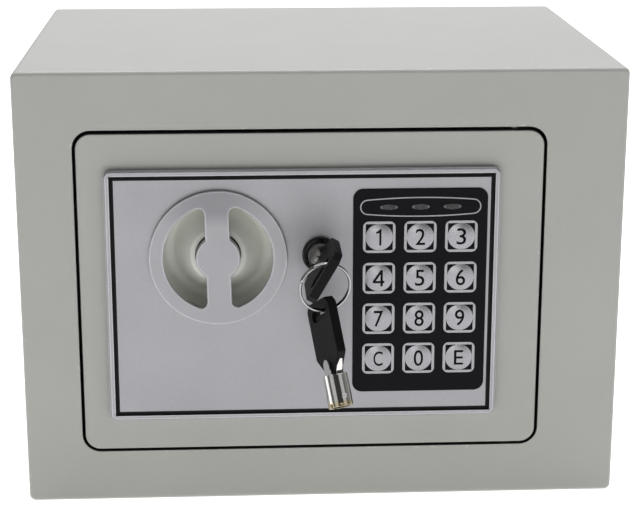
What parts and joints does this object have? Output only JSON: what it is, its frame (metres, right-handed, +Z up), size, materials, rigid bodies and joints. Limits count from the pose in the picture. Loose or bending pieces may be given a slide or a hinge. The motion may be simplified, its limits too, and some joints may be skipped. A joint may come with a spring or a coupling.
{
  "type": "electronic safe",
  "caption": "Small steel safe with a flush hinged door, digital keypad, turning knob with bolt work, and a tubular lock with its key and a spare on a split ring.",
  "frame": {"origin": "centre of the base's footprint on the floor", "axes": "+X to the right seen from the front, -Y out of the front, +Z up"},
  "size_m": [0.23, 0.2146, 0.17],
  "materials": {
    "cabinet_paint": "fine orange-peel grey powder coat",
    "silver_plastic": "silver paint on moulded plastic",
    "black_plastic": "matt",
    "gloss_black": "semi-gloss",
    "key_silver": "silver with black printed legends",
    "led_lens": "smoked clear",
    "silicone": "matt",
    "board_green": "solder mask",
    "dark_chrome": "polished",
    "key_chrome": "polished",
    "ring_steel": "bright",
    "bow_black": "fine moulded grain",
    "zinc_steel": "zinc plated",
    "bolt_steel": "turned and polished",
    "felt": "felt",
    "copper_winding": "enamelled winding under tape",
    "cell_jacket": "printed film",
    "red_plastic": "moulded"
  },
  "bodies": {
    "cabinet": {"cabinet_shell": "cabinet_paint", "front_frame": "cabinet_paint", "back_panel": "cabinet_paint", "hinge_brackets": "cabinet_paint", "floor_mat": "felt"},
    "door": {"door_plate": "cabinet_paint", "finger_dish": "cabinet_paint", "mechanism_case": "cabinet_paint", "hinge_lugs": "cabinet_paint", "hinge_pins": "zinc_steel", "rear_cover": "cabinet_paint", "cover_screws": "zinc_steel", "fascia": "silver_plastic", "fascia_inlay": "black_plastic", "keypad_plate": "gloss_black", "led_window": "gloss_black", "status_leds": "led_lens", "key_membrane": "silicone", "control_board": "board_green", "lock_housing": "dark_chrome", "lock_nut": "zinc_steel", "spindle_bush": "black_plastic", "guide_studs": "zinc_steel", "stud_clips": "zinc_steel", "solenoid_frame": "zinc_steel", "solenoid_coil": "copper_winding", "plunger_spring": "zinc_steel", "battery_tray": "black_plastic", "battery_cells": "cell_jacket", "battery_contacts": "zinc_steel"},
    "knob_set": {"knob": "silver_plastic", "knob_spindle": "zinc_steel", "crank": "zinc_steel", "crank_screw": "zinc_steel"},
    "bolt_set": {"bolt_carrier": "zinc_steel", "locking_bolts": "bolt_steel", "bolt_screws": "zinc_steel"},
    "lock_core": {"lock_rotor": "dark_chrome", "lock_cam": "zinc_steel", "cam_screw": "zinc_steel"},
    "plunger_set": {"plunger": "zinc_steel"},
    "key": {"key_tube": "key_chrome", "key_bow": "bow_black"},
    "ring": {"split_ring": "ring_steel"},
    "spare_key": {"spare_key_tube": "key_chrome", "spare_key_bow": "bow_black"},
    "reset": {"reset_button": "red_plastic"},
    "lid": {"battery_lid": "black_plastic"},
    "key_cap_1": {"button_1": "key_silver"},
    "key_cap_2": {"button_2": "key_silver"},
    "key_cap_3": {"button_3": "key_silver"},
    "key_cap_4": {"button_4": "key_silver"},
    "key_cap_5": {"button_5": "key_silver"},
    "key_cap_6": {"button_6": "key_silver"},
    "key_cap_7": {"button_7": "key_silver"},
    "key_cap_8": {"button_8": "key_silver"},
    "key_cap_9": {"button_9": "key_silver"},
    "key_cap_c": {"button_c": "key_silver"},
    "key_cap_0": {"button_0": "key_silver"},
    "key_cap_e": {"button_e": "key_silver"}
  },
  "joints": [
    {"name": "door_hinge", "type": "hinge", "parent": "cabinet", "child": "door", "pos_m": [0.07265, -0.0795, 0.08405], "axis": [0, 0, 1], "range_deg": [0, 100]},
    {"name": "knob_turn", "type": "hinge", "parent": "door", "child": "knob_set", "pos_m": [-0.03965, -0.0894, 0.09935], "axis": [0, -1, 0], "range_deg": [0, 80]},
    {"name": "bolt_slide", "type": "slide", "parent": "door", "child": "bolt_set", "axis": [-1, 0, 0], "range_m": [0, 0.0135]},
    {"name": "lock_turn", "type": "hinge", "parent": "door", "child": "lock_core", "pos_m": [-0.00115, -0.0898, 0.10025], "axis": [0, 1, 0], "range_deg": [0, 90]},
    {"name": "plunger_lift", "type": "slide", "parent": "door", "child": "plunger_set", "axis": [0, 0, 1], "range_m": [0, 0.004], "deforming": ["plunger_spring"]},
    {"name": "key_withdraw", "type": "slide", "parent": "lock_core", "child": "key", "axis": [0, -1, 0], "range_m": [0, 0.012]},
    {"name": "ring_swing", "type": "hinge", "parent": "key", "child": "ring", "pos_m": [0.0012, -0.1161, 0.10432], "axis": [-0.957, -0.2342, 0.171], "range_deg": [-6, 40]},
    {"name": "spare_swing", "type": "hinge", "parent": "ring", "child": "spare_key", "pos_m": [-0.00011, -0.11307, 0.086], "axis": [0.9766, 0.189, 0.1029], "range_deg": [-8, 16]},
    {"name": "reset_push", "type": "slide", "parent": "door", "child": "reset", "axis": [0, -1, 0], "range_m": [0, 0.0015], "stiffness_N_per_m": 800},
    {"name": "battery_lid_off", "type": "slide", "parent": "door", "child": "lid", "axis": [0, 1, 0], "range_m": [0, 0.012]},
    {"name": "key_press_1", "type": "slide", "parent": "door", "child": "key_cap_1", "axis": [0, 1, 0], "range_m": [0, 0.0006], "stiffness_N_per_m": 1500},
    {"name": "key_press_2", "type": "slide", "parent": "door", "child": "key_cap_2", "axis": [0, 1, 0], "range_m": [0, 0.0006], "stiffness_N_per_m": 1500},
    {"name": "key_press_3", "type": "slide", "parent": "door", "child": "key_cap_3", "axis": [0, 1, 0], "range_m": [0, 0.0006], "stiffness_N_per_m": 1500},
    {"name": "key_press_4", "type": "slide", "parent": "door", "child": "key_cap_4", "axis": [0, 1, 0], "range_m": [0, 0.0006], "stiffness_N_per_m": 1500},
    {"name": "key_press_5", "type": "slide", "parent": "door", "child": "key_cap_5", "axis": [0, 1, 0], "range_m": [0, 0.0006], "stiffness_N_per_m": 1500},
    {"name": "key_press_6", "type": "slide", "parent": "door", "child": "key_cap_6", "axis": [0, 1, 0], "range_m": [0, 0.0006], "stiffness_N_per_m": 1500},
    {"name": "key_press_7", "type": "slide", "parent": "door", "child": "key_cap_7", "axis": [0, 1, 0], "range_m": [0, 0.0006], "stiffness_N_per_m": 1500},
    {"name": "key_press_8", "type": "slide", "parent": "door", "child": "key_cap_8", "axis": [0, 1, 0], "range_m": [0, 0.0006], "stiffness_N_per_m": 1500},
    {"name": "key_press_9", "type": "slide", "parent": "door", "child": "key_cap_9", "axis": [0, 1, 0], "range_m": [0, 0.0006], "stiffness_N_per_m": 1500},
    {"name": "key_press_c", "type": "slide", "parent": "door", "child": "key_cap_c", "axis": [0, 1, 0], "range_m": [0, 0.0006], "stiffness_N_per_m": 1500},
    {"name": "key_press_0", "type": "slide", "parent": "door", "child": "key_cap_0", "axis": [0, 1, 0], "range_m": [0, 0.0006], "stiffness_N_per_m": 1500},
    {"name": "key_press_e", "type": "slide", "parent": "door", "child": "key_cap_e", "axis": [0, 1, 0], "range_m": [0, 0.0006], "stiffness_N_per_m": 1500}
  ],
  "couplings": [
    {"joint": "knob_turn", "follows": "bolt_slide", "rad_per_m": 103.43},
    {"joint": "lock_turn", "follows": "plunger_lift", "rad_per_m": 392.7}
  ]
}
